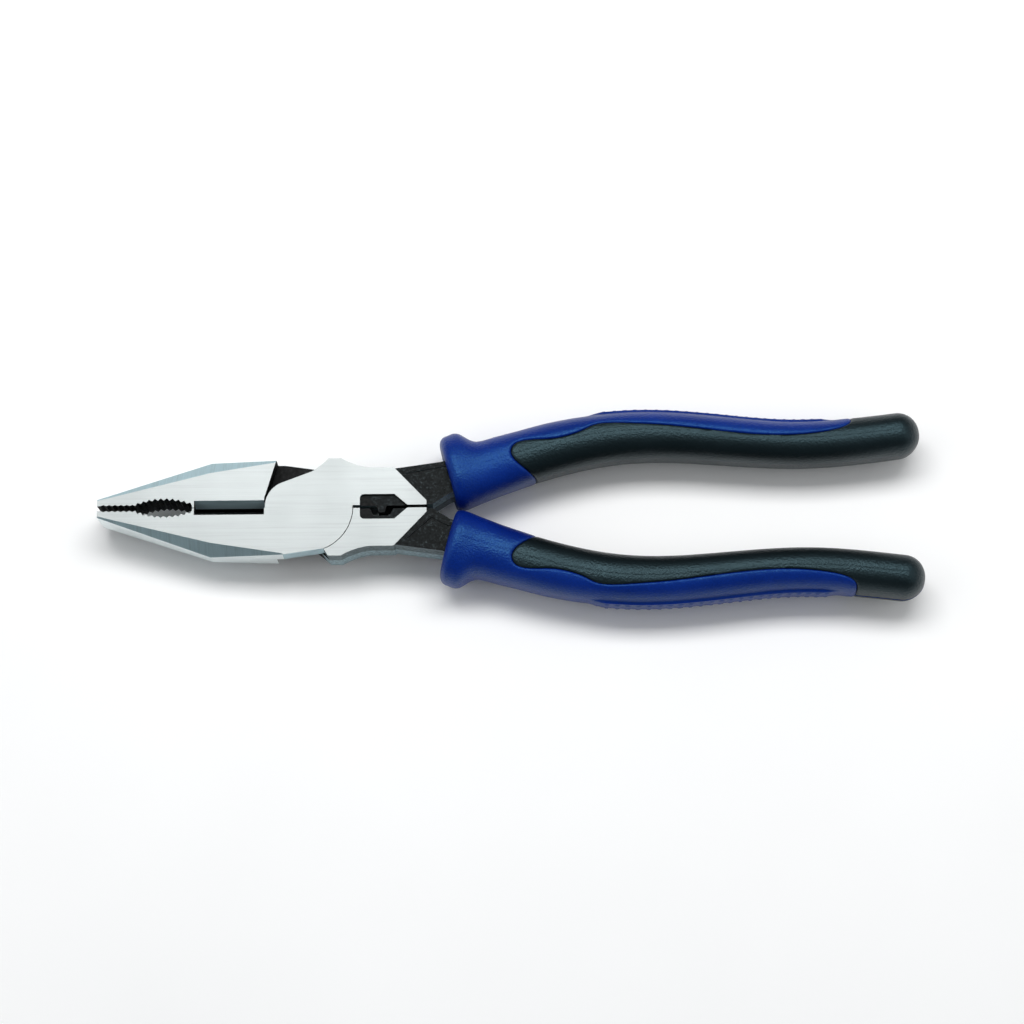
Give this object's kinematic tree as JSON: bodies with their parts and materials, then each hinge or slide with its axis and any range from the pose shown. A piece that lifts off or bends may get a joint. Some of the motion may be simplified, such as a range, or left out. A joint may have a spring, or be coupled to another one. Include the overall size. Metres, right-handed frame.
{
  "type": "lineman pliers",
  "caption": "Side-cutting combination pliers with a toothed nose, a round-stock grip, knives, a crimping die behind a flush riveted joint, and two-part moulded handle grips.",
  "frame": {"origin": "on the joint's axis at the joint's back face", "axes": "+Z along the joint's axis out of the front face, +X from the joint to the handles, +Y towards the upper jaw"},
  "size_m": [0.2162, 0.0528, 0.0199],
  "materials": {
    "forged_steel": "ground faces with an oxide-black neck and recesses",
    "rivet_steel": "ground flush",
    "grip_core": "fine pebble texture",
    "grip_cover": "fine pebble texture"
  },
  "bodies": {
    "back_half": {"plier_half_back": "forged_steel", "grip_core_lower": "grip_core", "grip_cover_lower": "grip_cover"},
    "front_half": {"plier_half_front": "forged_steel", "joint_rivet": "rivet_steel", "grip_core_upper": "grip_core", "grip_cover_upper": "grip_cover"}
  },
  "joints": [
    {"name": "joint_pivot", "type": "hinge", "parent": "back_half", "child": "front_half", "pos_m": [0, 0, 0.00625], "axis": [0, 0, 1], "range_deg": [0, 28]}
  ]
}
